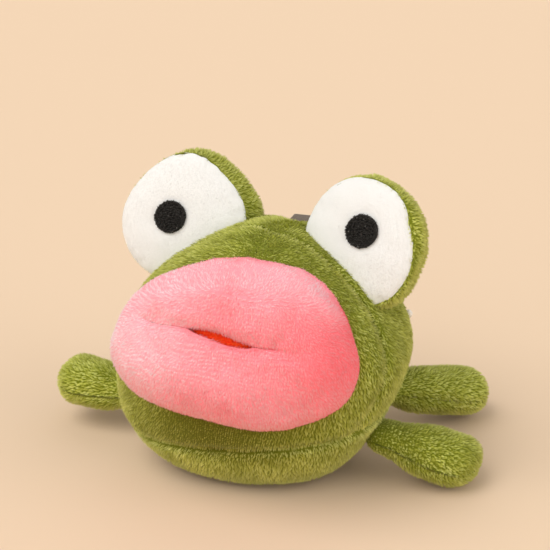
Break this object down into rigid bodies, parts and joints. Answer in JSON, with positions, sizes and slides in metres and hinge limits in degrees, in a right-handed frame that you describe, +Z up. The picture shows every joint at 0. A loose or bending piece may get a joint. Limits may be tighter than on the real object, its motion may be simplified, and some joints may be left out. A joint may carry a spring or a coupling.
{
  "type": "plush frog",
  "caption": "Small stuffed frog: round body, big puckered lips, raised eye pods and four soft hinged flippers.",
  "frame": {"origin": "on the surface the toy sits on, under the middle of the body's width", "axes": "+Z up, -Y the way the face looks, +X towards the toy's own left"},
  "size_m": [0.1601, 0.121, 0.1031],
  "materials": {
    "green_plush": "short knitted pile",
    "pink_plush": "short knitted pile",
    "mouth_cloth": "matte felted cloth",
    "white_velour": "very short smooth pile",
    "black_thread": "dense embroidery",
    "brown_ribbon": "woven ribbon",
    "fibre_filling": "loose polyester fibre",
    "pearl": "pearly"
  },
  "bodies": {
    "trunk": {"front_left_panel": "green_plush", "front_right_panel": "green_plush", "back_left_panel": "green_plush", "back_right_panel": "green_plush", "belly_panel": "green_plush", "body_filling": "fibre_filling", "lip_cover": "pink_plush", "mouth_lining": "mouth_cloth", "lip_filling": "fibre_filling", "left_eye_face": "white_velour", "left_eye_back": "green_plush", "left_eye_filling": "fibre_filling", "left_pupil": "black_thread", "right_eye_face": "white_velour", "right_eye_back": "green_plush", "right_eye_filling": "fibre_filling", "right_pupil": "black_thread", "flank_bead": "pearl"},
    "front_left_flipper": {"front_left_flipper_top": "green_plush", "front_left_flipper_underside": "green_plush", "front_left_flipper_filling": "fibre_filling"},
    "front_right_flipper": {"front_right_flipper_top": "green_plush", "front_right_flipper_underside": "green_plush", "front_right_flipper_filling": "fibre_filling"},
    "rear_left_flipper": {"rear_left_flipper_top": "green_plush", "rear_left_flipper_underside": "green_plush", "rear_left_flipper_filling": "fibre_filling"},
    "rear_right_flipper": {"rear_right_flipper_top": "green_plush", "rear_right_flipper_underside": "green_plush", "rear_right_flipper_filling": "fibre_filling"},
    "loop": {"hang_loop": "brown_ribbon"}
  },
  "joints": [
    {"name": "front_left_flap", "type": "hinge", "parent": "trunk", "child": "front_left_flipper", "pos_m": [0.04607, 0.0008, 0.01435], "axis": [-0.0049, 1, 0], "range_deg": [-40, 30], "stiffness_Nm_per_rad": 0.012},
    {"name": "front_right_flap", "type": "hinge", "parent": "trunk", "child": "front_right_flipper", "pos_m": [-0.05404, 0.00579, 0.01472], "axis": [-0.0594, -0.9982, 0], "range_deg": [-26, 45], "stiffness_Nm_per_rad": 0.012},
    {"name": "rear_left_flap", "type": "hinge", "parent": "trunk", "child": "rear_left_flipper", "pos_m": [0.03591, 0.03664, 0.01658], "axis": [-0.6411, 0.7675, 0], "range_deg": [-38, 32], "stiffness_Nm_per_rad": 0.012},
    {"name": "rear_right_flap", "type": "hinge", "parent": "trunk", "child": "rear_right_flipper", "pos_m": [-0.0438, 0.03684, 0.01728], "axis": [-0.6402, -0.7682, 0], "range_deg": [-38, 32], "stiffness_Nm_per_rad": 0.012},
    {"name": "loop_tilt", "type": "hinge", "parent": "trunk", "child": "loop", "pos_m": [-0.0025, 0.04103, 0.07299], "axis": [1, 0, 0], "range_deg": [-20, 100], "stiffness_Nm_per_rad": 0.0004}
  ]
}
